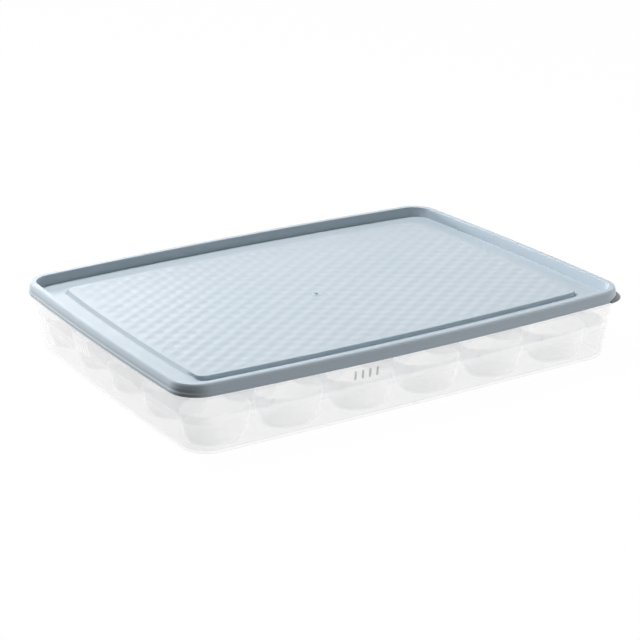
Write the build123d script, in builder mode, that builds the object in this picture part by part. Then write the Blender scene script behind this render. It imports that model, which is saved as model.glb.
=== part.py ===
# Egg keeper: clear drafted box, clear egg tray with oval cups, hinged moulded lid.
# Millimetres, +Z up, long side along X, front towards -Y, origin under the middle of the box.
import os
from build123d import *

os.makedirs("parts", exist_ok=True)

# ---------------------------------------------------------------- driving sizes
# An egg lying on its side sets the pitch of the cups and the height inside.
egg_length = 53.0
egg_width = 41.0
cup_room = 0.6               # cup hollow around the egg, each side
cup_land_x = 6.5             # flat tray left between neighbouring cups
cup_land_y = 16.8            # finger room between the rows
cup_columns = 6
cup_rows = 5
cup_margin_left = 9.85       # outermost cups to the virtual corner of the lid bead
cup_margin_right = 25.85     # wider at the right end, where the tray is lifted
cup_margin_y = 5.1
lid_room = 6.9               # between the egg and the underside of the lid panel

# Egg tray
tray_thick = 1.0
tray_height = 27.0           # above the floor of the box
tray_gap = 0.8               # tray edge to the box wall
tray_lip = 5.5               # turned-down edge of the tray

# Plan shape shared by lid and base: a rounded rectangle whose sides bow outward.
end_bow = 3.0                # outward bow of the short ends
side_bow = 7.5               # outward bow of the long sides
corner_r = 22.0

# Lid
lid_wall = 1.4
panel_rise = 3.0             # raised panel above the sunken strip around it
rim_rise = 9.2               # rim above the sunken strip
skirt_height = 10.0
skirt_draft = 0.5            # inward lean of the skirt over its height
rim_width = 5.4
bead_height = 2.9
bead_depth = 0.7
strip_width_x = 27.5         # virtual corner of the bead to the panel, at the ends
strip_width_y = 28.9
panel_end_bow = 3.0
panel_side_bow = 5.3
panel_corner_r = 7.7
top_edge_r = 1.1
gate_r = 1.4
gate_depth = 0.5
gate_x, gate_y = -6.6, -7.7

# Lift tab at the front right corner
tab_reach = 4.2
tab_thick = 1.8
tab_angle = -25.0

# Base box
base_wall = 1.5
floor_thick = 1.6
base_taper_x = 9.9           # foot inside the lid bead, at the ends
base_taper_y = 4.2           # foot inside the lid bead, at the long sides
base_side_bow = 1.5
foot_r = 2.2
seat_gap = 0.3               # lid skirt above the flange it rests on
channel_gap = 0.4            # base rim to each wall of the lid channel
rim_head_gap = 0.3           # base rim below the channel roof
flange_height = 2.0
flange_inset = 1.0

# Upright grip ribs on the front wall and on the left end wall
rib_r = 1.0
rib_sink = 0.35
front_rib_count = 4
front_rib_pitch = 6.4
front_rib_length = 10.0
front_rib_x, front_rib_z = -51.3, 39.3
end_rib_count = 6
end_rib_pitch = 5.3
end_rib_length = 15.0
end_rib_y, end_rib_z = 34.8, 30.0

# Hinges on the back wall
hinge_inset = 87.7           # hinge middle to the virtual corner of the lid bead
axis_out = 4.6               # hinge axis behind the back of the lid
axis_drop = 3.2              # hinge axis below the foot of the skirt
pin_r = 1.5
pin_running_gap = 0.05
knuckle_r = 3.2
lid_knuckle = 12.0
base_knuckle = 6.0
knuckle_gap = 0.35
bracket_height = 12.0
bracket_drop = 0.4           # bracket top below the flange top
lug_drop = 3.0               # lug top below the lid rim
lug_gap = 0.3                # lug clear of the flange
heel_gap = 0.4               # heel to the flange when the lid is fully open
heel_thick = 3.0
heel_lean = 6.0

# ---------------------------------------------------------------- derived sizes
cup_half_x = egg_length / 2 + cup_room + tray_thick
cup_half_y = egg_width / 2 + cup_room + tray_thick
cup_pitch_x = 2 * cup_half_x + cup_land_x
cup_pitch_y = 2 * cup_half_y + cup_land_y
cup_span_x = (cup_columns - 1) * cup_pitch_x
cup_span_y = (cup_rows - 1) * cup_pitch_y
cup_field_x = (cup_margin_left - cup_margin_right) / 2
plan_half_x = (cup_span_x + cup_margin_left + cup_margin_right) / 2 + cup_half_x
plan_half_y = cup_span_y / 2 + cup_half_y + cup_margin_y
base_half_x = plan_half_x - base_taper_x
base_half_y = plan_half_y - base_taper_y
panel_half_x = plan_half_x - strip_width_x
panel_half_y = plan_half_y - strip_width_y

tray_top_z = floor_thick + tray_height
panel_top_z = floor_thick + tray_thick + egg_width + lid_room + lid_wall
strip_top_z = panel_top_z - panel_rise
rim_top_z = strip_top_z + rim_rise
skirt_bottom_z = rim_top_z - skirt_height

skirt_in = bead_depth + lid_wall                       # inner face of the skirt, from the bead
rim_out = skirt_in + skirt_draft + channel_gap         # outer face of the base rim
rim_in = rim_out + base_wall
plug_out = rim_in + channel_gap                        # hidden face of the recess wall
recess_in = bead_depth + skirt_draft + rim_width       # visible face of the recess wall
channel_roof_z = rim_top_z - lid_wall
strip_under_z = strip_top_z - lid_wall
flange_top_z = skirt_bottom_z - seat_gap
flange_bottom_z = flange_top_z - flange_height
rim_z = channel_roof_z - rim_head_gap

hinge_x = plan_half_x - hinge_inset
axis_y = plan_half_y + side_bow + axis_out
axis_z = skirt_bottom_z - axis_drop


def outline(z, half_x, half_y, bow_x, bow_y, radius):
    """Rounded rectangle with bowed sides, drawn at height z."""
    with BuildSketch(Plane.XY.offset(z)) as shape:
        with BuildLine():
            ThreePointArc((-half_x, -half_y), (0, -half_y - bow_y), (half_x, -half_y))
            ThreePointArc((half_x, -half_y), (half_x + bow_x, 0), (half_x, half_y))
            ThreePointArc((half_x, half_y), (0, half_y + bow_y), (-half_x, half_y))
            ThreePointArc((-half_x, half_y), (-half_x - bow_x, 0), (-half_x, -half_y))
        make_face()
        fillet(shape.vertices(), radius)
    return shape.sketch


def plan(z, inset):
    """Plan shape of lid and rim, moved inward by inset."""
    return outline(z, plan_half_x - inset, plan_half_y - inset, end_bow, side_bow, corner_r - inset)


def plan_edge_y(x, inset):
    """Distance of the bowed long side of the plan from the middle, at x."""
    return plan_half_y - inset + side_bow * (1 - (x / plan_half_x) ** 2)


def panel(z, inset):
    """Plan shape of the raised panel, moved inward by inset."""
    return outline(z, panel_half_x - inset, panel_half_y - inset, panel_end_bow, panel_side_bow,
                   panel_corner_r - inset)


def foot(z, inset):
    """Plan shape of the foot of the box, moved inward by inset."""
    return outline(z, base_half_x - inset, base_half_y - inset, end_bow, base_side_bow, corner_r - inset)


def wall(z):
    """Half sizes and side bow of the drafted wall's outer face at height z."""
    share = z / flange_bottom_z
    return (base_half_x + (plan_half_x - rim_out - base_half_x) * share,
            base_half_y + (plan_half_y - rim_out - base_half_y) * share,
            base_side_bow + (side_bow - base_side_bow) * share)


def wall_y(x, z):
    """Distance of the outer face of the long wall from the middle, at x and z."""
    half_x, half_y, bow = wall(z)
    return half_y + bow * (1 - (x / half_x) ** 2)


def wall_x(y, z):
    """Distance of the outer face of the end wall from the middle, at y and z."""
    half_x, half_y, bow = wall(z)
    return half_x + end_bow * (1 - (y / half_y) ** 2)


def rib_section(x, y, z, lean, length):
    """Round section at the lower end of an upright rib that lies on a leaning wall."""
    with BuildSketch(Plane(origin=(x, y, z), z_dir=lean).offset(-length / 2)) as section:
        Circle(rib_r)
    return section.sketch


def tray_outline(z, inset):
    """Tray edge, following the inside of the drafted wall at height z."""
    half_x, half_y, bow = wall(z)
    step = base_wall + tray_gap + inset
    return outline(z, half_x - step, half_y - step, end_bow, bow, corner_r - step)


def cup_section(z, share, skin):
    """Oval section of an egg cup, share of the full size, less the skin."""
    with BuildSketch(Plane.XY.offset(z)) as oval:
        Ellipse(cup_half_x * share - skin, cup_half_y * share - skin)
    return oval.sketch


# ---------------------------------------------------------------- base box
bracket_low_z = axis_z - bracket_height
bracket_top_z = flange_top_z - bracket_drop

with BuildPart() as base:
    # drafted box body
    loft([foot(0, 0), plan(flange_bottom_z, rim_out)])
    fillet(base.faces().sort_by(Axis.Z)[0].edges(), foot_r)
    # rim and flange
    extrude(plan(flange_bottom_z, rim_out), amount=rim_z - flange_bottom_z)
    extrude(plan(flange_bottom_z, flange_inset), amount=flange_height)
    # hollow
    loft([foot(floor_thick, base_wall), plan(flange_bottom_z, rim_in)], mode=Mode.SUBTRACT)
    extrude(plan(flange_bottom_z, rim_in), amount=rim_z - flange_bottom_z, mode=Mode.SUBTRACT)
    # the rim stops level with the panel, so that the back of the lid can swing
    with BuildSketch(Plane.XY.offset(flange_top_z)):
        with Locations((0, panel_half_y)):
            Rectangle(2 * plan_half_x, plan_half_y, align=(Align.CENTER, Align.MIN))
    extrude(amount=rim_z - flange_top_z, mode=Mode.SUBTRACT)
    # hinge brackets
    for side in (-1, 1):
        for end in (-1, 1):
            knuckle_mid = side * hinge_x + end * (lid_knuckle / 2 + knuckle_gap + base_knuckle / 2)
            root_y = plan_edge_y(knuckle_mid, rim_out + base_wall / 2)
            root_low_y = wall_y(knuckle_mid, bracket_low_z) - base_wall / 2
            with BuildSketch(Plane.YZ.offset(knuckle_mid - base_knuckle / 2)):
                with Locations((axis_y, axis_z)):
                    Circle(knuckle_r)
                with BuildLine():
                    Polyline((axis_y, axis_z + knuckle_r / 2), (root_y, bracket_top_z),
                             (root_low_y, bracket_low_z), (axis_y, axis_z - knuckle_r), close=True)
                make_face()
                with Locations((axis_y, axis_z)):
                    Circle(pin_r, mode=Mode.SUBTRACT)
            extrude(amount=base_knuckle)
    # upright grip ribs on the front wall
    draft_y = wall_y(front_rib_x, flange_bottom_z) - wall_y(front_rib_x, 0)
    for index in range(front_rib_count):
        x = front_rib_x + (index - (front_rib_count - 1) / 2) * front_rib_pitch
        y = rib_sink - wall_y(x, front_rib_z)
        lean = Vector(0, -draft_y, flange_bottom_z)
        extrude(rib_section(x, y, front_rib_z, lean, front_rib_length), amount=front_rib_length)
    # upright grip ribs on the left end wall
    draft_x = wall_x(end_rib_y, flange_bottom_z) - wall_x(end_rib_y, 0)
    for index in range(end_rib_count):
        y = end_rib_y + (index - (end_rib_count - 1) / 2) * end_rib_pitch
        x = rib_sink - wall_x(y, end_rib_z)
        lean = Vector(-draft_x, 0, flange_bottom_z)
        extrude(rib_section(x, y, end_rib_z, lean, end_rib_length), amount=end_rib_length)

base.part.label = "base"
export_step(base.part, "parts/base.step")

# ---------------------------------------------------------------- egg tray
# height above the cup foot, share of the full size
cup_levels = ((0, 0.70), (1.8, 0.82), (5.0, 0.91), (12.0, 0.975))

with BuildPart() as cup_body:
    loft([cup_section(floor_thick + level, share, 0) for level, share in cup_levels]
         + [cup_section(tray_top_z, 1.0, 0)], ruled=True)

with BuildPart() as cup_hollow:
    loft([cup_section(floor_thick + tray_thick + level, share, tray_thick) for level, share in cup_levels]
         + [cup_section(tray_top_z, 1.0, tray_thick)], ruled=True)

cup_spots = [(cup_field_x - cup_span_x / 2 + column * cup_pitch_x, -cup_span_y / 2 + row * cup_pitch_y)
             for column in range(cup_columns) for row in range(cup_rows)]

with BuildPart() as egg_tray:
    loft([tray_outline(tray_top_z - tray_lip, 0), tray_outline(tray_top_z, 0)])
    loft([tray_outline(tray_top_z - tray_lip, tray_thick),
          tray_outline(tray_top_z - tray_thick, tray_thick)], mode=Mode.SUBTRACT)
    for x, y in cup_spots:
        add(Location((x, y, 0)) * cup_body.part)
    for x, y in cup_spots:
        add(Location((x, y, 0)) * cup_hollow.part, mode=Mode.SUBTRACT)

egg_tray.part.label = "egg_tray"
export_step(egg_tray.part, "parts/egg_tray.step")

# ---------------------------------------------------------------- lid
flange_y = plan_edge_y(hinge_x - lid_knuckle / 2, flange_inset)
lug_root_y = plan_edge_y(hinge_x + lid_knuckle / 2, bead_depth + skirt_draft + lid_wall / 2)
heel_reach = axis_y - flange_y - heel_gap
lug_low_z = skirt_bottom_z + lug_gap
lug_top_z = rim_top_z - lug_drop

with BuildPart() as lid:
    # skirt block, leaning in slightly
    loft([plan(skirt_bottom_z, bead_depth), plan(rim_top_z, bead_depth + skirt_draft)])
    fillet(lid.faces().sort_by(Axis.Z)[-1].edges(), top_edge_r)
    # bead along the foot of the skirt
    extrude(plan(skirt_bottom_z, 0), amount=bead_height)
    # lift tab
    with BuildSketch(Plane.XY.offset(skirt_bottom_z)):
        with Locations((plan_half_x - corner_r, -plan_half_y + corner_r)):
            with PolarLocations(tab_reach, 1, start_angle=tab_angle):
                Circle(corner_r)
    extrude(amount=tab_thick)
    # channel under the rim
    loft([plan(skirt_bottom_z, skirt_in), plan(channel_roof_z, skirt_in + skirt_draft)],
         mode=Mode.SUBTRACT)
    # floor and wall of the recess
    extrude(plan(strip_under_z, plug_out), amount=channel_roof_z - strip_under_z)
    loft([plan(strip_top_z, recess_in + 0.3), plan(rim_top_z, recess_in)], mode=Mode.SUBTRACT)
    # raised panel
    extrude(panel(strip_under_z, 0), amount=panel_top_z - strip_under_z)
    extrude(panel(strip_under_z, lid_wall), amount=panel_rise, mode=Mode.SUBTRACT)
    with BuildSketch(Plane.XY.offset(panel_top_z)):
        with Locations((gate_x, gate_y)):
            Circle(gate_r)
    extrude(amount=-gate_depth, mode=Mode.SUBTRACT)
    # hinge lugs with stop heels
    for side in (-1, 1):
        with BuildSketch(Plane.YZ.offset(side * hinge_x - lid_knuckle / 2)):
            with Locations((axis_y, axis_z)):
                Circle(knuckle_r)
            with BuildLine():
                Polyline((lug_root_y, lug_low_z), (lug_root_y, lug_top_z),
                         (flange_y + 2 * lid_wall, lug_top_z),
                         (axis_y + knuckle_r * 0.8, axis_z + knuckle_r * 0.6),
                         (axis_y - knuckle_r * 0.6, axis_z + knuckle_r * 0.3),
                         (flange_y + lug_gap, lug_low_z), close=True)
            make_face()
            with Locations(Location((axis_y, axis_z), -90 + heel_lean)):
                Rectangle(heel_reach, heel_thick, align=(Align.MIN, Align.CENTER))
            with Locations((axis_y, axis_z)):
                Circle(pin_r + pin_running_gap, mode=Mode.SUBTRACT)
        extrude(amount=lid_knuckle)

lid.part.label = "lid"
export_step(lid.part, "parts/lid.step")

# ---------------------------------------------------------------- hinge pins
pin_length = lid_knuckle + 2 * (knuckle_gap + base_knuckle)
for side, pin_name in ((-1, "hinge_pin_left"), (1, "hinge_pin_right")):
    with BuildPart() as hinge_pin:
        with BuildSketch(Plane.YZ.offset(side * hinge_x - pin_length / 2)):
            with Locations((axis_y, axis_z)):
                Circle(pin_r)
        extrude(amount=pin_length)
    hinge_pin.part.label = pin_name
    export_step(hinge_pin.part, "parts/" + pin_name + ".step")
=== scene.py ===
import math

import bpy
from mathutils import Matrix, Vector
from mathutils.geometry import tessellate_polygon


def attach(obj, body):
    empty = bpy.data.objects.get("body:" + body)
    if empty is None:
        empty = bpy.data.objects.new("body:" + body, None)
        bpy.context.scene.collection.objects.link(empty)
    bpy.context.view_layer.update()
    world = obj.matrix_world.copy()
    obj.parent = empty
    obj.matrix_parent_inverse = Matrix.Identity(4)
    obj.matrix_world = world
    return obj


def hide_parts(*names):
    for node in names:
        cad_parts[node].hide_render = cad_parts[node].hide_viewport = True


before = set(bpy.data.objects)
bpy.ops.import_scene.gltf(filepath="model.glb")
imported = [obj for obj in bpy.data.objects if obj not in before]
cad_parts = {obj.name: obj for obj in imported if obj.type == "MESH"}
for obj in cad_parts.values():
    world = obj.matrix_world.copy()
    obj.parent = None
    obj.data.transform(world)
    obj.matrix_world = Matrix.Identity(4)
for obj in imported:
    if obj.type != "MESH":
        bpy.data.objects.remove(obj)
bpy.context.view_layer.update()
MM = 0.001                             # metres in a millimetre

# ------------------------------------------------------------------ sizes, in millimetres
# Half sizes hold at the corners; a bow is how far a side stands out from there at its middle.
PLAN_X, PLAN_Y = 202.7, 149.2          # half length and half width of the lid
END_BOW, SIDE_BOW = 3.0, 7.5
CORNER_R = 22.0
RIM_TOP, SKIRT_FOOT = 58.1, 48.1       # heights of the top and the foot of the lid
STRIP, PANEL = 48.9, 51.9              # heights of the sunken strip and of the panel inside it
LID_WALL = 1.4
PANEL_X, PANEL_Y, PANEL_R = 175.2, 120.3, 7.7
PANEL_BOW_X, PANEL_BOW_Y = 3.0, 5.3
FOOT_X, FOOT_Y, FOOT_BOW = 192.8, 145.0, 1.5
BASE_WALL, BASE_FLOOR = 1.5, 1.6       # thickness of the box's wall and of its floor
FLANGE_TOP, FLANGE_FOOT = 47.8, 45.8
FLANGE_IN, RIM_IN = 1.0, 3.0           # how far flange and upright rim stay inside the lid's outline
BOX_RIM_TOP = 56.4
TRAY_TOP, TRAY_THICK = 28.6, 1.0
TRAY_LIP, TRAY_GAP = 5.5, 0.8          # depth of the tray's lip and its gap to the box's wall
COLUMNS, ROWS = 6, 5
PITCH_X, PITCH_Y = 62.7, 61.0
FIELD_SHIFT = -8.0                     # the cups sit left of the middle
CUP_X, CUP_Y = 27.7, 21.3              # half sizes of a cup's outside, just under its rounded rim
HINGE_X, AXIS_Y, AXIS_Z = 115.0, 161.3, 44.9
KNUCKLE_R, PIN_R = 3.2, 1.5

CELL_W, CELL_H = 10.2, 7.2             # one crossing of the woven relief
RELIEF = 0.44                          # depth of the woven relief
BORDER = 4.6                           # plain border around the woven field
STEPS_X, STEPS_Y = 204, 200            # mesh steps along and across the lid
CORNER_STEPS = 14
INSIDE = 0.06                          # keeps the smooth skins within the faceted CAD box


# ------------------------------------------------------------------ mesh helpers
def make(name, verts, faces, body, material, replaces=(), sharp=32):
    """A smooth-shaded mesh piece in metres from points in millimetres; sharp is its crease angle."""
    mesh = bpy.data.meshes.new(name)
    mesh.from_pydata([(x * MM, y * MM, z * MM) for x, y, z in verts], [], faces)
    mesh.validate()
    mesh.shade_smooth()
    mesh.set_sharp_from_angle(angle=math.radians(sharp))
    mesh.materials.append(material)
    piece = bpy.data.objects.new(name, mesh)
    bpy.context.collection.objects.link(piece)
    weighted = piece.modifiers.new("normals", "WEIGHTED_NORMAL")
    weighted.keep_sharp = True
    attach(piece, body)
    if replaces:
        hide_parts(*replaces)
    return piece


def ease(value, start, width):
    """0 up to start, 1 from start + width on, and in a straight line between."""
    return max(0.0, min(1.0, (value - start) / width))


def bowed(x, y, half_x, half_y, bow_x, bow_y):
    """A point of a rectangle after its sides have bowed out, most at their middles."""
    return (x + bow_x * (1 - (y / half_y) ** 2) * x / half_x,
            y + bow_y * (1 - (x / half_x) ** 2) * y / half_y)


def ring(half_x, half_y, bow_x, bow_y, radius, steps_x, steps_y):
    """Points of a rounded rectangle with bowed sides, anticlockwise from the front left."""
    points = []
    corners = ((-1, -1, 180), (1, -1, 270), (1, 1, 0), (-1, 1, 90))
    for index, (sx, sy, start) in enumerate(corners):
        cx, cy = sx * (half_x - radius), sy * (half_y - radius)
        for k in range(CORNER_STEPS + 1):
            a = math.radians(start + 90 * k / CORNER_STEPS)
            points.append((cx + radius * math.cos(a), cy + radius * math.sin(a)))
        nx, ny, next_start = corners[(index + 1) % 4]
        a = math.radians(next_start)
        end = (nx * (half_x - radius) + radius * math.cos(a), ny * (half_y - radius) + radius * math.sin(a))
        begin = points[-1]
        steps = steps_x if index % 2 == 0 else steps_y
        for k in range(1, steps):
            t = k / steps
            points.append((begin[0] + (end[0] - begin[0]) * t, begin[1] + (end[1] - begin[1]) * t))
    return [bowed(x, y, half_x, half_y, bow_x, bow_y) for x, y in points]


def rounded(path, steps=5):
    """Points (inset, height) along a path of (inset, height, radius), each corner rounded by its radius."""
    out = []
    for k, (u, z, r) in enumerate(path):
        here = Vector((u, z))
        if r <= 0 or k in (0, len(path) - 1):
            out.append((u, z))
            continue
        before = (Vector(path[k - 1][:2]) - here).normalized()
        after = (Vector(path[k + 1][:2]) - here).normalized()
        half = before.angle(after) / 2
        reach = r / math.tan(half)
        centre = here + (before + after).normalized() * (r / math.sin(half))
        first, last = here + before * reach - centre, here + after * reach - centre
        turn = first.angle_signed(last)
        for i in range(steps + 1):
            a = -turn * i / steps
            p = centre + Vector((first.x * math.cos(a) - first.y * math.sin(a),
                                 first.x * math.sin(a) + first.y * math.cos(a)))
            out.append((p.x, p.y))
    return out


def skin(verts, faces, rings):
    """Joins successive rings of equal length with quads and returns each ring's first index."""
    starts = []
    for points in rings:
        starts.append(len(verts))
        verts.extend(points)
    count = len(rings[0])
    for a, b in zip(starts, starts[1:]):
        for k in range(count):
            n = (k + 1) % count
            faces.append((a + k, a + n, b + n, b + k))
    return starts


def cap(faces, start, count):
    """Closes a ring of points with one face, turned the way the ring runs."""
    faces.append(tuple(range(start, start + count)))


def cap_back(faces, start, count):
    """Closes a ring of points with one face, turned against the way the ring runs."""
    faces.append(tuple(range(start, start + count))[::-1])


# ------------------------------------------------------------------ materials
NOISE_LOW, NOISE_HIGH = 0.3, 0.7       # nearly all of a noise texture lies between these
PLASTIC_IOR, CLEAR_IOR = 1.49, 1.45
CLEAR_SPECULAR = 0.25                  # half the usual, as many clear faces lie behind each other
CLEAR_FACING = 0.35                    # blend of the facing weight that drives the milky film


def nodes_of(name):
    """A new material with its nodes, its links and its shader."""
    material = bpy.data.materials.new(name)
    material.use_nodes = True
    tree = material.node_tree
    return material, tree.nodes, tree.links, tree.nodes["Principled BSDF"]


def noise(nodes, links, coords, scale, detail):
    """A noise that is fixed to the object."""
    node = nodes.new("ShaderNodeTexNoise")
    node.inputs["Scale"].default_value = scale
    node.inputs["Detail"].default_value = detail
    links.new(coords.outputs["Object"], node.inputs["Vector"])
    return node.outputs["Fac"]


def ramp(nodes, links, source, low, high, a, b):
    """Maps low to high of a source onto a to b."""
    node = nodes.new("ShaderNodeMapRange")
    links.new(source, node.inputs["Value"])
    for key, value in zip(("From Min", "From Max", "To Min", "To Max"), (low, high, a, b)):
        node.inputs[key].default_value = value
    return node.outputs["Result"]


def vary(nodes, links, coords, a, b, scale, detail):
    """A value that wanders between a and b over the surface."""
    return ramp(nodes, links, noise(nodes, links, coords, scale, detail), NOISE_LOW, NOISE_HIGH, a, b)


def bump(nodes, links, coords, scale, strength, distance, under=None):
    """Small unevenness from a noise, on top of another one where that is given."""
    height = noise(nodes, links, coords, scale, detail=2.0)
    node = nodes.new("ShaderNodeBump")
    node.inputs["Strength"].default_value = strength
    node.inputs["Distance"].default_value = distance
    links.new(height, node.inputs["Height"])
    if under:
        links.new(under, node.inputs["Normal"])
    return node.outputs["Normal"]


def moulded(name, low, high, roughness):
    """Opaque moulded plastic: slight colour drift, soft flow marks and a fine grain."""
    material, nodes, links, shader = nodes_of(name)
    coords = nodes.new("ShaderNodeTexCoord")
    drift = nodes.new("ShaderNodeMix")
    drift.data_type = "RGBA"
    links.new(vary(nodes, links, coords, 0.0, 1.0, scale=7.0, detail=3.0), drift.inputs["Factor"])
    drift.inputs[6].default_value = (*low, 1)        # inputs 6 and 7 and output 2 are its colours
    drift.inputs[7].default_value = (*high, 1)
    links.new(drift.outputs[2], shader.inputs["Base Color"])
    gloss = vary(nodes, links, coords, roughness - 0.04, roughness + 0.05, scale=60.0, detail=3.0)
    links.new(gloss, shader.inputs["Roughness"])
    shader.inputs["IOR"].default_value = PLASTIC_IOR
    grain = bump(nodes, links, coords, scale=2600.0, strength=0.12, distance=0.00005)
    flow = bump(nodes, links, coords, scale=45.0, strength=0.04, distance=0.0006, under=grain)
    links.new(flow, shader.inputs["Normal"])
    return material


def clear(name, tint, painted_glow, film, edge, sharpness, roughness):
    """Thin clear plastic: what is behind shows through a milky film, thicker where it is seen edge on, and
    the film glows with painted light that stands in for light let in through the walls.
    """
    material, nodes, links, shader = nodes_of(name)
    coords = nodes.new("ShaderNodeTexCoord")
    shader.inputs["Base Color"].default_value = (*tint, 1)
    shader.inputs["IOR"].default_value = CLEAR_IOR
    # painted light: the emission brightens the film as if lit by light let in through the walls
    shader.inputs["Emission Color"].default_value = (*tint, 1)
    shader.inputs["Emission Strength"].default_value = painted_glow
    shader.inputs["Specular IOR Level"].default_value = CLEAR_SPECULAR
    gloss = vary(nodes, links, coords, roughness, roughness + 0.08, scale=90.0, detail=2.0)
    links.new(gloss, shader.inputs["Roughness"])
    flow = bump(nodes, links, coords, scale=38.0, strength=0.04, distance=0.0008)
    links.new(flow, shader.inputs["Normal"])
    facing = nodes.new("ShaderNodeLayerWeight")
    facing.inputs["Blend"].default_value = CLEAR_FACING
    power = nodes.new("ShaderNodeMath")
    power.operation = "POWER"
    power.inputs[1].default_value = sharpness
    links.new(facing.outputs["Facing"], power.inputs[0])
    links.new(ramp(nodes, links, power.outputs[0], 0.0, 1.0, film, edge), shader.inputs["Alpha"])
    return material


def drawn_steel(name):
    """Bare steel wire with fine drawing marks in its gloss."""
    material, nodes, links, shader = nodes_of(name)
    coords = nodes.new("ShaderNodeTexCoord")
    shader.inputs["Base Color"].default_value = (0.62, 0.62, 0.61, 1)
    shader.inputs["Metallic"].default_value = 1.0
    gloss = vary(nodes, links, coords, 0.24, 0.40, scale=900.0, detail=3.0)
    links.new(gloss, shader.inputs["Roughness"])
    return material


lid_plastic = moulded("lid_plastic", (0.415, 0.497, 0.542), (0.440, 0.517, 0.562), roughness=0.34)
gate_plastic = moulded("gate_plastic", (0.440, 0.530, 0.570), (0.465, 0.550, 0.590), roughness=0.30)
# the tab is the lid's plastic, coloured much darker to paint the shade that the skirt casts on it
tab_plastic_painted_shade = moulded("tab_plastic_painted_shade", (0.19, 0.20, 0.21), (0.22, 0.23, 0.24), roughness=0.40)
# the box and the tray glow with painted light, so that their insides look lit under the opaque lid
clear_box = clear("clear_box", (0.90, 0.90, 0.90), painted_glow=0.27, film=0.085, edge=0.60,
                  sharpness=2.8, roughness=0.24)
clear_tray = clear("clear_tray", (0.92, 0.92, 0.92), painted_glow=0.39, film=0.14, edge=0.42,
                   sharpness=2.0, roughness=0.45)
# the front ribs are the box's clear plastic, tinted dark grey to paint the shade seen in them
front_ribs_painted_shade = clear("front_ribs_painted_shade", (0.42, 0.42, 0.43), painted_glow=0.04, film=0.26, edge=0.92,
                   sharpness=1.2, roughness=0.30)
# the left ribs get a whiter tint and a strong painted glow: painted light for the brightly lit left end
left_ribs_painted_light = clear("left_ribs_painted_light", (0.93, 0.93, 0.93), painted_glow=0.50, film=0.12, edge=0.60,
                    sharpness=1.4, roughness=0.20)
pin_steel = drawn_steel("pin_steel")
for name in ("hinge_pin_left", "hinge_pin_right"):
    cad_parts[name].data.materials.clear()
    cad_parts[name].data.materials.append(pin_steel)


# ------------------------------------------------------------------ lid
# Insets of the lid's profile are measured inwards from its outline, and those of the panel's
# edge inwards from the panel's outline, so that a point outside the panel has a negative one.
SKIRT_WALL = 2.1                       # thickness of the skirt at its foot
BAND_TOP, BAND_STEP = 50.5, 0.4        # the band along the foot of the skirt, and how far it stands out
WAIST_Z, WAIST_IN = 54.0, 0.55         # where the skirt has leaned in a little
SHOULDER_Z, SHOULDER_IN = 56.6, 1.2    # where it turns over into the rim
RIM_OUTER, RIM_INNER = 2.0, 6.0        # insets of the two edges of the rim's top
RECESS_TOP, RECESS_FOOT = 6.6, 6.9     # insets of the wall down to the strip
CREASE = 0.8                           # depth of the fine channel at the foot of that wall at the back
CREASE_END, CREASE_LIP = 7.9, 8.2      # insets of the side of that channel next to the strip
STRIP_IN = 12.0                        # inset where the strip leaves the lid's outline for the panel's
STRIP_OUT = -5.0                       # inset where it has reached the panel's
MOAT = 1.6                             # depth of the channel in front of the panel
MOAT_LIP, MOAT_END = -2.6, -2.2        # insets of the side of that channel next to the strip
PANEL_LEAN = 0.12                      # how far the panel's wall leans in
PANEL_MIN_R = 1.5                      # corner radius of the innermost rings
LEFT_FOOT = ((-3.2, 0.05), (-2.6, 0.15), (-2.0, 0.4))    # the left wall's soft foot: insets and rises
LEFT_TOP_IN, LEFT_TOP_DROP = 0.3, 0.1  # the left wall's top edge
BORDER_DROP = 0.55 * RELIEF            # the plain border lies this far below the top of the relief
BORDER_IN = 0.6 * BORDER
STRAND_DIP = 0.15                      # height of an upright strand where it passes under
CROSS_HEIGHT = 0.45                    # height of a cross strand against an upright one
GATE_X, GATE_Y = -8.0, -7.4            # place of the gate mark near the middle of the panel
GATE_R, GATE_SINK = 3.0, 0.9           # the relief is sunk under the gate mark

# Where a change starts, and over what length it goes on, as shares of the half width or half length.
CHANNEL_START, CHANNEL_FADE = 0.93, 0.06     # a channel deepens towards the front or the back
LEFT_START, LEFT_FADE = 0.955, 0.03    # the left wall takes over towards the left
FRONT_START, FRONT_FADE = 0.86, 0.06   # and gives way again towards the front


def plan(inset, z):
    """Ring of the lid's outline at a height, moved inwards."""
    u = inset + INSIDE
    outline = ring(PLAN_X - u, PLAN_Y - u, END_BOW, SIDE_BOW, CORNER_R - u, STEPS_X, STEPS_Y)
    return [(x, y, z) for x, y in outline]


def panel_ring(inset, z):
    """Ring of the panel's outline at a height, moved inwards."""
    radius = max(PANEL_R - inset, PANEL_MIN_R)
    outline = ring(PANEL_X - inset, PANEL_Y - inset, PANEL_BOW_X, PANEL_BOW_Y, radius, STEPS_X, STEPS_Y)
    return [(x, y, z) for x, y in outline]


def mix(p, q, t):
    """The point a share t of the way from p to q."""
    return tuple(a + (b - a) * t for a, b in zip(p, q))


def weave(x, y):
    """Height of the woven relief, 0 to 1: upright strands pass over and under the cross strands."""
    u, v = x / CELL_W, y / CELL_H
    i = math.floor(u)
    du, dv = 2 * (u - i) - 1, 2 * (v - math.floor(v)) - 1
    over = 0.5 + 0.5 * math.cos(math.pi * (v + i))
    upright = (1 - abs(du) ** 3) * (STRAND_DIP + (1 - STRAND_DIP) * over)
    cross = CROSS_HEIGHT * (1 - dv * dv) * (1 - over)
    return max(upright, cross)


def channel(points, half_y, side, level):
    """Fills a channel up to a level, except along the front (side -1) or the back (side 1)."""
    out = []
    for x, y, z in points:
        share = ease(side * y / half_y, CHANNEL_START, CHANNEL_FADE)
        out.append((x, y, level - (level - z) * share if z < level else z))
    return out


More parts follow.
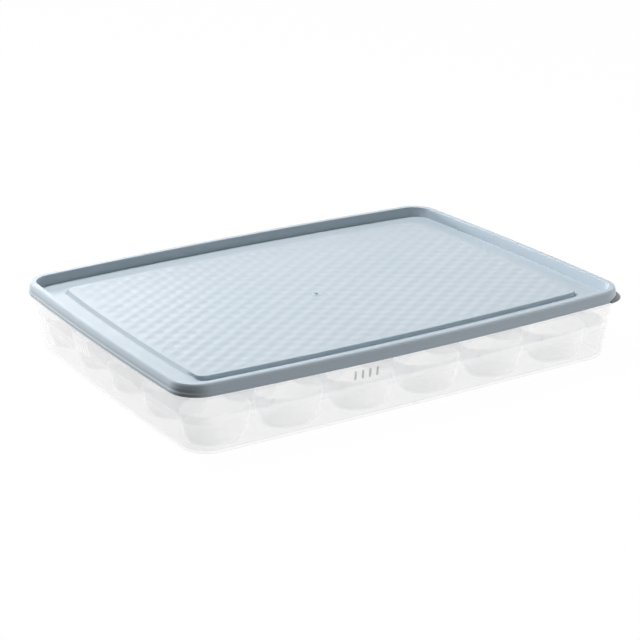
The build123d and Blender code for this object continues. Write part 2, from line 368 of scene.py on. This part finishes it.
def panel_wall(front, left):
    """One ring of the panel's wall: a channel at the front, and a soft slope of its own at the left."""
    points = []
    for p, q in zip(channel(panel_ring(*front), PANEL_Y, -1, STRIP), panel_ring(*left)):
        at_left = ease(-q[0] / PANEL_X, LEFT_START, LEFT_FADE)
        at_front = ease(-q[1] / PANEL_Y, FRONT_START, FRONT_FADE)
        points.append(mix(p, q, at_left * (1 - at_front)))
    return points


verts, faces = [], []
skirt = rounded([(SKIRT_WALL, SKIRT_FOOT, 0), (0.0, SKIRT_FOOT, 0.45),
                 (0.0, BAND_TOP, 0.6), (BAND_STEP, BAND_TOP + 1.0, 0.6),
                 (WAIST_IN, WAIST_Z, 4.0), (SHOULDER_IN, SHOULDER_Z, 2.0),
                 (RIM_OUTER, RIM_TOP, 1.3), (RIM_INNER, RIM_TOP, 0)])
recess = rounded([(RIM_INNER, RIM_TOP, 0), (RECESS_TOP, RIM_TOP, 0.6),
                  (RECESS_FOOT, STRIP - CREASE, 0.2), (CREASE_END, STRIP - CREASE, 0.2),
                  (CREASE_LIP, STRIP, 0.3), (STRIP_IN, STRIP, 0)])
border_z = PANEL - BORDER_DROP
wall = rounded([(STRIP_OUT, STRIP, 0), (MOAT_LIP, STRIP, 0.3),
                (MOAT_END, STRIP - MOAT, 0.5), (0.0, STRIP - MOAT, 0.15),
                (PANEL_LEAN, border_z, 0.5), (BORDER_IN, border_z, 0)])
left_wall = rounded([(STRIP_OUT, STRIP, 0), *((u, STRIP + rise, 0.2) for u, rise in LEFT_FOOT),
                     (LEFT_TOP_IN, border_z - LEFT_TOP_DROP, 0.3), (BORDER_IN, border_z, 0)])
rings = [plan(u, z) for u, z in skirt]
rings += [channel(plan(u, z), PLAN_Y, 1, STRIP) for u, z in recess[1:]]
rings.append([mix(p, q, 0.5) for p, q in zip(rings[-1], panel_ring(STRIP_OUT, STRIP))])
rings += [panel_wall(front, left) for front, left in zip(wall, left_wall)]
starts = skin(verts, faces, rings)
count, last = len(rings[-1]), starts[-1]

# woven field, joined to the last ring of the panel edge
FIELD_X, FIELD_Y = PANEL_X - BORDER, PANEL_Y - BORDER


def field_point(i, j):
    """Point i, j of the woven field, which follows the bowed edges of the panel."""
    s, t = 2 * i / STEPS_X - 1, 2 * j / STEPS_Y - 1
    x = FIELD_X * s + PANEL_BOW_X * (1 - t * t) * s
    y = FIELD_Y * t + PANEL_BOW_Y * (1 - s * s) * t
    if i in (0, STEPS_X) or j in (0, STEPS_Y):
        return x, y, border_z
    if math.hypot(x - GATE_X, y - GATE_Y) < GATE_R:
        return x, y, PANEL - GATE_SINK
    return x, y, PANEL - RELIEF + RELIEF * weave(x, y)


grid = {}
for j in range(STEPS_Y + 1):
    for i in range(STEPS_X + 1):
        grid[i, j] = len(verts)
        verts.append(field_point(i, j))
for j in range(STEPS_Y):
    for i in range(STEPS_X):
        faces.append((grid[i, j], grid[i + 1, j], grid[i + 1, j + 1], grid[i, j + 1]))
side_walks = (
    [grid[i, 0] for i in range(STEPS_X + 1)],
    [grid[STEPS_X, j] for j in range(STEPS_Y + 1)],
    [grid[STEPS_X - i, STEPS_Y] for i in range(STEPS_X + 1)],
    [grid[0, STEPS_Y - j] for j in range(STEPS_Y + 1)],
)
at = 0
for walk in side_walks:
    for k in range(CORNER_STEPS):
        faces.append((last + at + k, last + at + k + 1, walk[0]))
    at += CORNER_STEPS
    for k in range(len(walk) - 1):
        faces.append((last + at + k, last + (at + k + 1) % count, walk[k + 1], walk[k]))
    at += len(walk) - 1

# underside, which follows the channel in front of the panel
MOAT_WALL = 1.0                        # thickness under that channel
MOAT_UNDER_IN, MOAT_UNDER_OUT = -3.2, -3.8   # insets of the edges of its underside away from the panel
HOLLOW_OUTER, HOLLOW_INNER = 2.6, 4.9  # insets of the two walls of the rim's hollow
under_strip, under_rim, under_moat = STRIP - LID_WALL, RIM_TOP - LID_WALL, STRIP - MOAT - MOAT_WALL
panel_under = ((LID_WALL, under_moat), (MOAT_UNDER_IN, under_moat), (MOAT_UNDER_OUT, under_strip))
rim_under = rounded([(STRIP_IN, under_strip, 0), (HOLLOW_INNER, under_strip, 0.5),
                     (HOLLOW_INNER, under_rim, 0.2), (HOLLOW_OUTER, under_rim, 0.2),
                     (SKIRT_WALL, SKIRT_FOOT, 0)])
under = [panel_ring(LID_WALL, PANEL - LID_WALL)]
under += [channel(panel_ring(u, z), PANEL_Y, -1, under_strip) for u, z in panel_under]
under += [plan(u, z) for u, z in rim_under]
starts = skin(verts, faces, under)
cap_back(faces, starts[0], count)
make("lid_shell", verts, faces, "lid", lid_plastic, replaces=("lid",))


# ------------------------------------------------------------------ base box
SIDE_X, SIDE_Y = 120, 90               # mesh steps along and across the box
FOOT_EDGE, FOOT_R = 8.0, 2.2           # reach and radius of the rounded foot edge
FLOOR_EDGE, FLOOR_R = 10.0, 2.0        # reach and radius of the rounded edge inside
WALL_LEVELS = (20.0, 32.0, 44.0)       # heights of the rings between foot and flange
FLANGE_STEP = 0.15                     # the wall's last ring lies this far below the flange
DIP_LENGTH = 2.0                       # over this length the upright rim falls to the flange


def box_outline(z, inset=0.0):
    """Half length, half width, side bow and corner radius of the box's outside at a height."""
    t = z / FLANGE_FOOT
    half_x = FOOT_X + (PLAN_X - RIM_IN - FOOT_X) * t - inset
    half_y = FOOT_Y + (PLAN_Y - RIM_IN - FOOT_Y) * t - inset
    return half_x, half_y, FOOT_BOW + (SIDE_BOW - FOOT_BOW) * t, CORNER_R - RIM_IN * t - inset


def box_wall(z, inset):
    """Ring of the box's wall at a height, moved inwards."""
    half_x, half_y, bow, radius = box_outline(z, inset)
    return [(x, y, z) for x, y in ring(half_x, half_y, END_BOW, bow, radius, SIDE_X, SIDE_Y)]


def box_rim(inset, z):
    """Ring of the flange or the upright rim, which is cut down to the flange along the back."""
    outline = ring(PLAN_X - inset, PLAN_Y - inset, END_BOW, SIDE_BOW, CORNER_R - inset, SIDE_X, SIDE_Y)
    points = []
    for x, y in outline:
        share = ease(PANEL_Y + DIP_LENGTH / 2 - y, 0.0, DIP_LENGTH)
        points.append((x, y, FLANGE_TOP + (z - FLANGE_TOP) * share if z > FLANGE_TOP else z))
    return points


verts, faces = [], []
foot = rounded([(FOOT_EDGE, 0.0, 0), (0.0, 0.0, FOOT_R), (0.0, FOOT_EDGE, 0)], steps=6)
flange = rounded([(RIM_IN, FLANGE_FOOT, 0), (FLANGE_IN, FLANGE_FOOT, 0.3),
                  (FLANGE_IN, FLANGE_TOP, 0.3), (RIM_IN, FLANGE_TOP, 0.3),
                  (RIM_IN, BOX_RIM_TOP, 0.5), (RIM_IN + BASE_WALL, BOX_RIM_TOP, 0.5),
                  (RIM_IN + BASE_WALL, FLANGE_TOP, 0)], steps=3)
inner_foot = rounded([(BASE_WALL, FOOT_EDGE, 0), (BASE_WALL, BASE_FLOOR, FLOOR_R),
                      (FLOOR_EDGE, BASE_FLOOR, 0)], steps=6)
rings = [box_wall(z, u) for u, z in foot]
rings += [box_wall(z, 0) for z in (*WALL_LEVELS, FLANGE_FOOT - FLANGE_STEP)]
rings += [box_rim(u, z) for u, z in flange]
rings += [box_wall(z, BASE_WALL) for z in WALL_LEVELS[::-1]]
rings += [box_wall(z, u) for u, z in inner_foot]
starts = skin(verts, faces, rings)
cap_back(faces, starts[0], len(rings[0]))
cap(faces, starts[-1], len(rings[-1]))
make("base_shell", verts, faces, "box", clear_box, replaces=("base",))


# ------------------------------------------------------------------ egg tray
CUP_STEPS = 64                         # points round one cup, 16 to each side of its cell
QUARTER = CUP_STEPS // 4
MOUTH_R, MOUTH_STEPS = 1.0, 4          # rounded rim of a cup
CUP_FOOT = 0.62                        # size of the cup's flat foot against its mouth
BOWL_STEPS, BOWL_POWER = 16, 0.85      # rings down a cup, and how full its sides are
LAND = 1.3                             # width of the edge land that the lip turns down from
LIP_R, LIP_FOOT_R = 0.9, 0.4
CUP_START = math.radians(225)          # a cup's first point looks to the front left corner of its cell
NEAR = 0.01                            # closer than this, a point lies on an edge of the cup field
SPAN_X, SPAN_Y = COLUMNS * PITCH_X / 2, ROWS * PITCH_Y / 2


def tray_edge(p, inset, z):
    """The point of the tray's outline that lies outside a point on the edge of the cup field."""
    half_x, half_y, bow, radius = box_outline(z, BASE_WALL + TRAY_GAP + inset)
    over_x, over_y = abs(p[0]) - (half_x - radius), abs(p[1]) - (half_y - radius)
    x, y = p
    if over_x > 0 and over_y > 0:
        reach = math.hypot(over_x, over_y)
        x = math.copysign(half_x - radius + radius * over_x / reach, x)
        y = math.copysign(half_y - radius + radius * over_y / reach, y)
    elif abs(abs(p[0] - FIELD_SHIFT) - SPAN_X) < NEAR:
        x = math.copysign(half_x, x)
    else:
        y = math.copysign(half_y, y)
    return (*bowed(x, y, half_x, half_y, END_BOW, bow), z)


def cell_edge(k):
    """Point k round the edge of a cell of half size 1, in step with the angle round the cup."""
    side, t = divmod(k, QUARTER)
    t = -1 + 2 * t / QUARTER
    return ((t, -1), (1, t), (-t, 1), (-1, -t))[side]


def lattice(x, y):
    """Whole-number place of a point on the edges of the cells."""
    return round((x - FIELD_SHIFT + SPAN_X) / PITCH_X * QUARTER), round((y + SPAN_Y) / PITCH_Y * QUARTER)


def on_field_edge(place):
    """Whether a place lies on the outer edge of the cup field."""
    return place[0] in (0, COLUMNS * QUARTER) or place[1] in (0, ROWS * QUARTER)


def cup_rings(foot_z, top):
    """Smooth rings of a cup as shares of its mouth, from its rounded rim down to its flat foot."""
    out = []
    for k in range(MOUTH_STEPS + 1):
        a = math.pi / 2 * k / MOUTH_STEPS
        out.append((1.0 + MOUTH_R * (1 - math.sin(a)) / CUP_X, top - MOUTH_R * (1 - math.cos(a))))
    depth = top - MOUTH_R - foot_z
    for k in range(BOWL_STEPS - 1, -1, -1):
        a = math.pi / 2 * k / BOWL_STEPS
        share = CUP_FOOT + (1 - CUP_FOOT) * math.sin(a) ** BOWL_POWER
        out.append((share, foot_z + depth * (1 - math.cos(a))))
    return out


def cup(verts, faces, cx, cy, previous, skin_depth, top, foot_z):
    """Joins the points of a cell's edge to the rings of its cup, and closes the cup's foot."""
    for share, z in cup_rings(foot_z, top):
        start = len(verts)
        for k in range(CUP_STEPS):
            a = CUP_START + 2 * math.pi * k / CUP_STEPS
            verts.append((cx + (CUP_X * share - skin_depth) * math.cos(a),
                          cy + (CUP_Y * share - skin_depth) * math.sin(a), z))
        now = [start + k for k in range(CUP_STEPS)]
        for k in range(CUP_STEPS):
            n = (k + 1) % CUP_STEPS
            faces.append((previous[k], previous[n], now[n], now[k]))
        previous = now
    faces.append(tuple(previous))


def tray_side(verts, faces, skin_depth, top, foot_z):
    """One face of the tray with all its cups. Returns the points of the cell edges by their place."""
    index_at = {}
    for column in range(COLUMNS):
        for row in range(ROWS):
            cx = FIELD_SHIFT + (column - (COLUMNS - 1) / 2) * PITCH_X
            cy = (row - (ROWS - 1) / 2) * PITCH_Y
            edge = []
            for k in range(CUP_STEPS):
                u, v = cell_edge(k)
                x, y = cx + u * PITCH_X / 2, cy + v * PITCH_Y / 2
                place = lattice(x, y)
                if place not in index_at:
                    index_at[place] = len(verts)
                    verts.append(tray_edge((x, y), LAND, top) if on_field_edge(place) else (x, y, top))
                edge.append(index_at[place])
            cup(verts, faces, cx, cy, edge, skin_depth, top, foot_z)
    return index_at


walk = [(k, 0) for k in range(COLUMNS * QUARTER)]
walk += [(COLUMNS * QUARTER, k) for k in range(ROWS * QUARTER)]
walk += [(COLUMNS * QUARTER - k, ROWS * QUARTER) for k in range(COLUMNS * QUARTER)]
walk += [(0, ROWS * QUARTER - k) for k in range(ROWS * QUARTER)]
walk_xy = [(FIELD_SHIFT - SPAN_X + i * PITCH_X / QUARTER, -SPAN_Y + j * PITCH_Y / QUARTER) for i, j in walk]

verts, faces = [], []
upper = tray_side(verts, faces, TRAY_THICK, TRAY_TOP, BASE_FLOOR + TRAY_THICK)
first_low = len(faces)
lower = tray_side(verts, faces, 0.0, TRAY_TOP - TRAY_THICK, BASE_FLOOR)
faces[first_low:] = [face[::-1] for face in faces[first_low:]]
lip_foot = TRAY_TOP - TRAY_LIP
lip = rounded([(LAND, TRAY_TOP, 0), (0.0, TRAY_TOP, LIP_R),
               (0.0, lip_foot, LIP_FOOT_R), (TRAY_THICK, lip_foot, LIP_FOOT_R),
               (TRAY_THICK, TRAY_TOP - TRAY_THICK, 0)], steps=4)
previous = [upper[place] for place in walk]
for u, z in lip[1:]:
    now = list(range(len(verts), len(verts) + len(walk)))
    verts += [tray_edge(p, u, z) for p in walk_xy]
    for k in range(len(walk)):
        n = (k + 1) % len(walk)
        faces.append((previous[n], previous[k], now[k], now[n]))
    previous = now
for k in range(len(walk)):
    n = (k + 1) % len(walk)
    faces.append((previous[n], previous[k], lower[walk[k]], lower[walk[n]]))
make("egg_tray_shell", verts, faces, "box", clear_tray, replaces=("egg_tray",))


# ------------------------------------------------------------------ hinges
LUG_HALF, BRACKET_HALF = 6.0, 3.0      # half thickness of a lid lug and of a box bracket, along the axis
SIDE_GAP = 0.35                        # between lug and bracket
PIN_PLAY = 0.05                        # clearance all round a pin in its lug
BRACKET_BITE, BRACKET_TOP = 0.7, FLANGE_TOP - 0.4    # how deep it is sunk into the wall, and its top there
BRACKET_DROP, BRACKET_LEAN = 12.0, 2.3 # its reach below the axis, and how far it leans in down there
LUG_BITE = 1.9                         # inset of the lug's root in the skirt
LUG_TOP, LUG_FOOT = RIM_TOP - 3.0, SKIRT_FOOT + 0.3
LUG_SHOULDER, LUG_CLEAR = 2.8, 0.3     # how far the lug's top and its inside stand out from the flange
NECK_Y, NECK_Z = -2.6, 1.9             # where the arm meets the knuckle, from the axis
HEEL_GAP, HEEL_HALF = 0.4, 1.5         # the heel's gap to the flange when open, and its half thickness
HEEL_LEAN = math.radians(-84)          # direction of the heel with the lid closed
EDGE_SOFT, EDGE_STEPS = 0.35, 2        # softened edges of the lugs and brackets
EDGE_ANGLE = math.radians(35)          # sharper turns than this are softened


def prism(name, outline, x0, x1, body, material, bore=()):
    """Solid of constant section in the YZ plane with softened edges.

    Its outline runs anticlockwise; a bore through it, where it has one, runs clockwise.
    """
    loops = [outline, bore] if bore else [outline]
    points = [point for loop in loops for point in loop]
    count = len(points)
    verts = [(x0, y, z) for y, z in points] + [(x1, y, z) for y, z in points]
    faces = []
    for corners in tessellate_polygon([[Vector((y, z, 0)) for y, z in loop] for loop in loops]):
        (ay, az), (by, bz), (cy, cz) = [points[k] for k in corners]
        if (by - ay) * (cz - az) - (cy - ay) * (bz - az) < 0:
            corners = corners[::-1]
        faces.append(tuple(corners)[::-1])
        faces.append(tuple(k + count for k in corners))
    first = 0
    for loop in loops:
        for k in range(len(loop)):
            a, b = first + k, first + (k + 1) % len(loop)
            faces.append((a, b, b + count, a + count))
        first += len(loop)
    piece = make(name, verts, faces, body, material)
    bevel = piece.modifiers.new("edges", "BEVEL")
    bevel.width = EDGE_SOFT * MM
    bevel.segments = EDGE_STEPS
    bevel.limit_method = "ANGLE"
    bevel.angle_limit = EDGE_ANGLE
    piece.modifiers.move(1, 0)         # before the weighted normals


def axis_arc(r, start, end, steps):
    """Points of an arc about the hinge axis, between two angles in degrees."""
    turns = [math.radians(start + (end - start) * k / steps) for k in range(steps + 1)]
    return [(AXIS_Y + r * math.cos(a), AXIS_Z + r * math.sin(a)) for a in turns]


def edge_y(x, inset):
    """Place of the back edge of the lid's outline, moved inwards."""
    return PLAN_Y - inset + SIDE_BOW * (1 - (x / PLAN_X) ** 2)


def hinge_bracket(name, mid):
    """Knuckle on the box, joined to the back wall by a web below it."""
    wall_y = edge_y(mid, RIM_IN + BRACKET_BITE)
    outline = axis_arc(KNUCKLE_R, -80, 100, steps=16)
    outline += [(wall_y, BRACKET_TOP), (wall_y - BRACKET_LEAN, AXIS_Z - BRACKET_DROP)]
    prism(name, outline, mid - BRACKET_HALF, mid + BRACKET_HALF, "box", clear_box)


def lid_lug(name, mid):
    """Knuckle on the lid with its bore, an arm to the skirt and a heel that stops short of the flange."""
    root_y = edge_y(HINGE_X + LUG_HALF, LUG_BITE)
    flange_y = edge_y(HINGE_X - LUG_HALF, FLANGE_IN)
    reach = AXIS_Y - flange_y - HEEL_GAP
    along = (math.cos(HEEL_LEAN), math.sin(HEEL_LEAN))
    across = (-along[1], along[0])
    outline = axis_arc(KNUCKLE_R, -40, 40, steps=10)
    outline += [(flange_y + LUG_SHOULDER, LUG_TOP), (root_y, LUG_TOP), (root_y, LUG_FOOT),
                (flange_y + LUG_CLEAR, LUG_FOOT), (AXIS_Y + NECK_Y, AXIS_Z + NECK_Z)]
    outline += axis_arc(KNUCKLE_R, 160, 235, steps=8)
    for half in (-HEEL_HALF, HEEL_HALF):
        outline.append((AXIS_Y + along[0] * reach + across[0] * half,
                        AXIS_Z + along[1] * reach + across[1] * half))
    bore = axis_arc(PIN_R + PIN_PLAY, 360, 0, steps=32)[:-1]
    prism(name, outline, mid - LUG_HALF, mid + LUG_HALF, "lid", lid_plastic, bore)


for side, word in ((-1, "left"), (1, "right")):
    hinge_x = side * HINGE_X
    for end, tail in ((-1, "a"), (1, "b")):
        mid = hinge_x + end * (LUG_HALF + SIDE_GAP + BRACKET_HALF)
        hinge_bracket("hinge_bracket_%s_%s" % (word, tail), mid)
    lid_lug("lid_lug_" + word, hinge_x)


# ------------------------------------------------------------------ lift tab
# A disc's edge that stands out under the skirt at the front right corner.
TAB_REACH, TAB_TURN = 3.9, math.radians(-38)     # how far it stands out, and towards where
TAB_FROM, TAB_TO, TAB_STEPS = -86.0, 26.0, 48    # its arc, in degrees
TAB_FOOT = SKIRT_FOOT + 0.02
TAB_TOP = TAB_FOOT + 2.8               # where its slope ends inside the skirt
TAB_FOOT_IN, TAB_SLOPE = 1.6, 2.6      # widths of its flat foot and of the slope above its edge
TAB_EDGE = 0.7                         # height of its edge
TAB_ROOT_IN = 1.3                      # inset of its root under the skirt
TAB_X, TAB_Y = PLAN_X - CORNER_R, -PLAN_Y + CORNER_R   # middle of the lid's corner


def under_skirt(x, y):
    """The point under the skirt nearest to a point of the tab's edge."""
    x, y, inner = x - TAB_X, y - TAB_Y, CORNER_R - TAB_ROOT_IN
    if x > 0 and y < 0:
        reach = math.hypot(x, y)
        x, y = x * inner / reach, y * inner / reach
    elif y >= 0:
        x = inner
    else:
        y = -inner
    return TAB_X + x, TAB_Y + y


verts, faces, rows = [], [], []
profile = rounded([(TAB_FOOT_IN, TAB_FOOT, 0), (0.0, TAB_FOOT, 0.25),
                   (0.0, TAB_FOOT + TAB_EDGE, 0.5), (TAB_SLOPE, TAB_TOP, 0)], steps=4)
for u, z in profile:
    row = []
    for k in range(TAB_STEPS + 1):
        a = math.radians(TAB_FROM + (TAB_TO - TAB_FROM) * k / TAB_STEPS)
        row.append((TAB_X + TAB_REACH * math.cos(TAB_TURN) + (CORNER_R - INSIDE - u) * math.cos(a),
                    TAB_Y + TAB_REACH * math.sin(TAB_TURN) + (CORNER_R - INSIDE - u) * math.sin(a), z))
    rows.append(row)
edge = rows[len(rows) // 2]
rows += [[(*under_skirt(x, y), z) for x, y, _ in edge] for z in (TAB_TOP, TAB_FOOT)]
starts = []
for row in rows:
    starts.append(len(verts))
    verts += row
for n in range(len(rows)):
    a, b = starts[n], starts[(n + 1) % len(rows)]
    for k in range(TAB_STEPS):
        faces.append((a + k, a + k + 1, b + k + 1, b + k))
faces.append(tuple(starts)[::-1])
faces.append(tuple(s + TAB_STEPS for s in starts))
# its dark colour is painted shade from the skirt above it
make("lift_tab", verts, faces, "lid", tab_plastic_painted_shade)


# ------------------------------------------------------------------ gate mark
# A shallow smooth dish near the middle of the panel, with the stub of the gate in it.
GATE_STEPS = 40
DISH_FOOT_R, DISH_R = 3.9, 3.3
DISH_RISE = 0.1                        # of the dish's edge over the panel; its floor lies as far under it
DISH_FLOOR_R, STUB_FOOT_R = 2.0, 1.45
STUB_R, STUB_RISE, STUB_TOP_R = 1.25, 1.3, 0.3

verts, faces, rings = [], [], []
profile = rounded([(DISH_FOOT_R, PANEL - GATE_SINK, 0), (DISH_R, PANEL + DISH_RISE, 0.3),
                   (DISH_FLOOR_R, PANEL - DISH_RISE, 0.6), (STUB_FOOT_R, PANEL - DISH_RISE, 0.1),
                   (STUB_R, PANEL + STUB_RISE, 0.25), (STUB_TOP_R, PANEL + STUB_RISE, 0)])
turns = [2 * math.pi * k / GATE_STEPS for k in range(GATE_STEPS)]
for r, z in profile:
    rings.append([(GATE_X + r * math.cos(a), GATE_Y + r * math.sin(a), z) for a in turns])
starts = skin(verts, faces, rings)
cap(faces, starts[-1], GATE_STEPS)
cap_back(faces, starts[0], GATE_STEPS)
make("gate_mark", verts, faces, "lid", gate_plastic, sharp=60)


# ------------------------------------------------------------------ grip ribs
# Upright half-round ribs with rounded ends, on the front wall and on the left end wall.
RIB_R, RIB_STAND, RIB_SINK = 1.0, 0.65, 0.2      # half width, how far it stands out, how deep it is sunk
RIB_ROWS, RIB_ACROSS = 17, 10
RIB_END_POWER = 6                      # how square its ends are
RIB_END = 0.02                         # size left at its very ends


def front_place(along, out, z):
    """Point of the front wall, given along, out of and up the wall."""
    half_x, half_y, bow, _ = box_outline(z)
    return along, -(half_y + bow * (1 - (along / half_x) ** 2)) - out, z


def end_place(along, out, z):
    """Point of the left end wall, given along, out of and up the wall."""
    half_x, half_y, _, _ = box_outline(z)
    return -(half_x + END_BOW * (1 - (along / half_y) ** 2)) - out, along, z


def grip_ribs(name, place, material, count, pitch, middle, middle_z, length):
    """A row of ribs as one piece; place is the function that puts a point on their wall."""
    verts, faces = [], []
    ring_size = RIB_ACROSS + 1
    for index in range(count):
        along = middle + (index - (count - 1) / 2) * pitch
        first = len(verts)
        for k in range(RIB_ROWS):
            t = 2 * k / (RIB_ROWS - 1) - 1
            size = max(1 - abs(t) ** RIB_END_POWER, 0.0) ** 0.5 + RIB_END
            for m in range(ring_size):
                a = math.pi * m / RIB_ACROSS
                out = RIB_STAND * size * math.sin(a) - RIB_SINK
                verts.append(place(along + RIB_R * math.cos(a) * size, out, middle_z + t * length / 2))
        for k in range(RIB_ROWS - 1):
            for m in range(ring_size):
                n = (m + 1) % ring_size
                a, b = first + k * ring_size, first + (k + 1) * ring_size
                faces.append((a + m, a + n, b + n, b + m))
        cap_back(faces, first, ring_size)
        cap(faces, first + (RIB_ROWS - 1) * ring_size, ring_size)
    make(name, verts, faces, "box", material, sharp=60)


# the front ribs carry painted shade and the left ones painted light: lit and shaded looks of the same clear
# plastic
grip_ribs("grip_ribs_front", front_place, front_ribs_painted_shade,
          count=4, pitch=6.4, middle=-51.3, middle_z=38.6, length=8.0)
grip_ribs("grip_ribs_left", end_place, left_ribs_painted_light,
          count=6, pitch=5.3, middle=34.8, middle_z=33.0, length=15.0)


# ------------------------------------------------------------------ stage, in metres
FLOOR_HALF = 8.0
FLOOR_SHADE, FLOOR_ROUGHNESS = 0.11, 0.9
FLOOR_WHITE, FLOOR_SHARE = 1.12, 0.88  # strength of the white that the eye sees, and its share there
SOFT_TINT, SOFT_LEVEL = (0.92, 1.0, 0.88), 0.03   # the world's own light on the object


def white_to_the_eye(nodes, links):
    """1 for rays seen straight, in a reflection or through something, and 0 for the rest."""
    path = nodes.new("ShaderNodeLightPath")
    seen = path.outputs["Is Camera Ray"]
    for kind in ("Is Transmission Ray", "Is Glossy Ray"):
        either = nodes.new("ShaderNodeMath")
        either.operation = "MAXIMUM"
        links.new(seen, either.inputs[0])
        links.new(path.outputs[kind], either.inputs[1])
        seen = either.outputs[0]
    return seen


def blend_into(nodes, links, share, first, second, output):
    """Shows the first shader where the share is 0 and the second where it is 1."""
    blend = nodes.new("ShaderNodeMixShader")
    links.new(share, blend.inputs["Fac"])
    links.new(first.outputs[0], blend.inputs[1])
    links.new(second.outputs[0], blend.inputs[2])
    links.new(blend.outputs[0], nodes[output].inputs["Surface"])


def white_floor():
    """A floor that is seen as white and keeps a soft shadow, but throws little light back."""
    material, nodes, links, shader = nodes_of("floor_white")
    shader.inputs["Base Color"].default_value = (FLOOR_SHADE, FLOOR_SHADE, FLOOR_SHADE, 1)
    shader.inputs["Roughness"].default_value = FLOOR_ROUGHNESS
    shader.inputs["Specular IOR Level"].default_value = 0.0
    white = nodes.new("ShaderNodeEmission")
    white.inputs["Strength"].default_value = FLOOR_WHITE
    share = nodes.new("ShaderNodeMath")
    share.operation = "MULTIPLY"
    share.inputs[1].default_value = FLOOR_SHARE
    links.new(white_to_the_eye(nodes, links), share.inputs[0])
    blend_into(nodes, links, share.outputs[0], shader, white, "Material Output")
    mesh = bpy.data.meshes.new("floor")
    corners = [(x * FLOOR_HALF, y * FLOOR_HALF, 0) for x, y in ((-1, -1), (1, -1), (1, 1), (-1, 1))]
    mesh.from_pydata(corners, [], [(0, 1, 2, 3)])
    mesh.materials.append(material)
    floor = bpy.data.objects.new("floor", mesh)
    bpy.context.collection.objects.link(floor)


def studio_world():
    """A world that is seen as white and adds only a little soft light."""
    world = bpy.data.worlds.new("studio")
    bpy.context.scene.world = world
    world.use_nodes = True
    nodes, links = world.node_tree.nodes, world.node_tree.links
    soft = nodes["Background"]
    soft.inputs["Color"].default_value = (*SOFT_TINT, 1)
    soft.inputs["Strength"].default_value = SOFT_LEVEL
    bright = nodes.new("ShaderNodeBackground")
    bright.inputs["Color"].default_value = (1, 1, 1, 1)
    bright.inputs["Strength"].default_value = 1.0
    blend_into(nodes, links, white_to_the_eye(nodes, links), soft, bright, "World Output")


white_floor()
studio_world()


# ------------------------------------------------------------------ lights, in metres
LAMP_TINT = (1.0, 0.975, 1.0)
LAMP_AIM = Vector((0, 0, 0.05))        # every lamp faces this point, near the middle of the part


def softbox(name, toward, distance, size, level, mirrored=True):
    """A soft rectangular light that gives a white surface facing it the level named."""
    light = bpy.data.lights.new(name, "AREA")
    light.shape = "RECTANGLE"
    light.size, light.size_y = size
    light.energy = level * (math.pi * distance) ** 2
    light.color = LAMP_TINT
    lamp = bpy.data.objects.new(name, light)
    bpy.context.collection.objects.link(lamp)
    direction = Vector(toward).normalized()
    lamp.location = LAMP_AIM + direction * distance
    lamp.rotation_euler = direction.to_track_quat("Z", "Y").to_euler()
    lamp.visible_glossy = mirrored


softbox("back_left_low", (-0.35, 0.93, 0.06), distance=4.0, size=(2.4, 0.5), level=1.55, mirrored=False)
softbox("overhead", (-0.25, 0.33, 0.91), distance=1.6, size=(0.9, 0.7), level=1.30)
softbox("front_low", (0.74, -0.67, -0.0025), distance=8.0, size=(6.0, 0.12), level=0.77, mirrored=False)
softbox("front_right", (0.60, -0.60, 0.50), distance=3.0, size=(1.2, 0.9), level=0.15)
softbox("sheen_back", (0.26, 0.90, 0.35), distance=3.0, size=(0.6, 0.5), level=0.034)


# ------------------------------------------------------------------ camera, in metres and degrees
AZIMUTH, ELEVATION, ROLL = -30.9985, 19.8008, -0.80825
LENS, SENSOR = 102.152, 36.0           # in millimetres
PICTURE = 640                          # side of the picture in pixels
HALF_PIXEL = 0.5 / PICTURE
BACK, RIGHT, UP = 1.520074, 0.000304, 0.023171   # place of the camera, along its own directions
CLEAR_LAYERS = 32                      # the cups are seen through many clear walls

azimuth, elevation = math.radians(AZIMUTH), math.radians(ELEVATION)
aim = Matrix.Rotation(azimuth, 4, "Z") @ Matrix.Rotation(math.pi / 2 - elevation, 4, "X")
back = Vector((math.sin(azimuth) * math.cos(elevation),
               -math.cos(azimuth) * math.cos(elevation),
               math.sin(elevation)))
place = back * BACK + aim.col[0].to_3d() * RIGHT + aim.col[1].to_3d() * UP
lens = bpy.data.cameras.new("camera")
lens.sensor_width, lens.lens = SENSOR, LENS
lens.shift_x, lens.shift_y = -HALF_PIXEL, HALF_PIXEL
camera = bpy.data.objects.new("camera", lens)
bpy.context.collection.objects.link(camera)
camera.matrix_world = Matrix.Translation(place) @ aim @ Matrix.Rotation(math.radians(ROLL), 4, "Z")
bpy.context.scene.camera = camera
bpy.context.scene.view_settings.view_transform = "Standard"
bpy.context.scene.cycles.transparent_max_bounces = CLEAR_LAYERS
